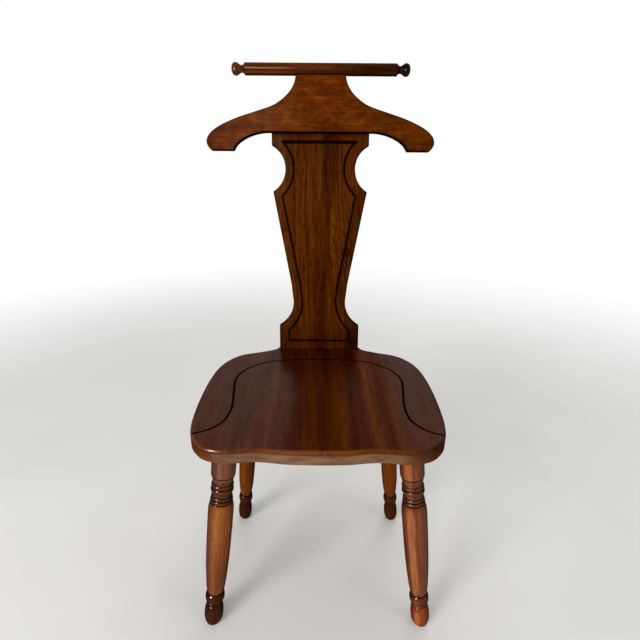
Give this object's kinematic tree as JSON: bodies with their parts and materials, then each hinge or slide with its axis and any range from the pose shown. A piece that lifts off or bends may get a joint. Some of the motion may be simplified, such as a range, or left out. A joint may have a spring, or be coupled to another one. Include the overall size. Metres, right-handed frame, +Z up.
{
  "type": "clothes valet chair",
  "caption": "Wooden valet chair: shaped plank seat on splayed turned legs, slab back carrying a coat-hanger board with a turned trouser bar on top.",
  "frame": {"origin": "on the floor, at the middle of the bounding box", "axes": "+Z up, +X to the viewer's right when the chair is seen from its front, -Y towards the front of the seat"},
  "size_m": [0.4804, 0.4862, 1.0414],
  "materials": {
    "seat_wood": "red-brown stained hardwood under gloss lacquer",
    "back_wood": "orange-brown stained hardwood under satin lacquer",
    "leg_wood": "red-orange stained hardwood under gloss lacquer",
    "joint_wood": "bare pale hardwood",
    "screw_steel": "zinc-plated"
  },
  "bodies": {
    "root": {"seat_board_left": "seat_wood", "seat_board_left_inner": "seat_wood", "seat_board_middle": "seat_wood", "seat_board_right_inner": "seat_wood", "seat_board_right": "seat_wood", "back_slab": "back_wood", "slab_tenon_wedges": "joint_wood", "hanger_board": "back_wood", "hanger_screws": "screw_steel", "trouser_bar": "back_wood", "bar_dowels": "joint_wood", "finial_left": "back_wood", "finial_right": "back_wood", "front_leg_left": "leg_wood", "front_leg_right": "leg_wood", "rear_leg_left": "leg_wood", "rear_leg_right": "leg_wood"}
  },
  "joints": []
}
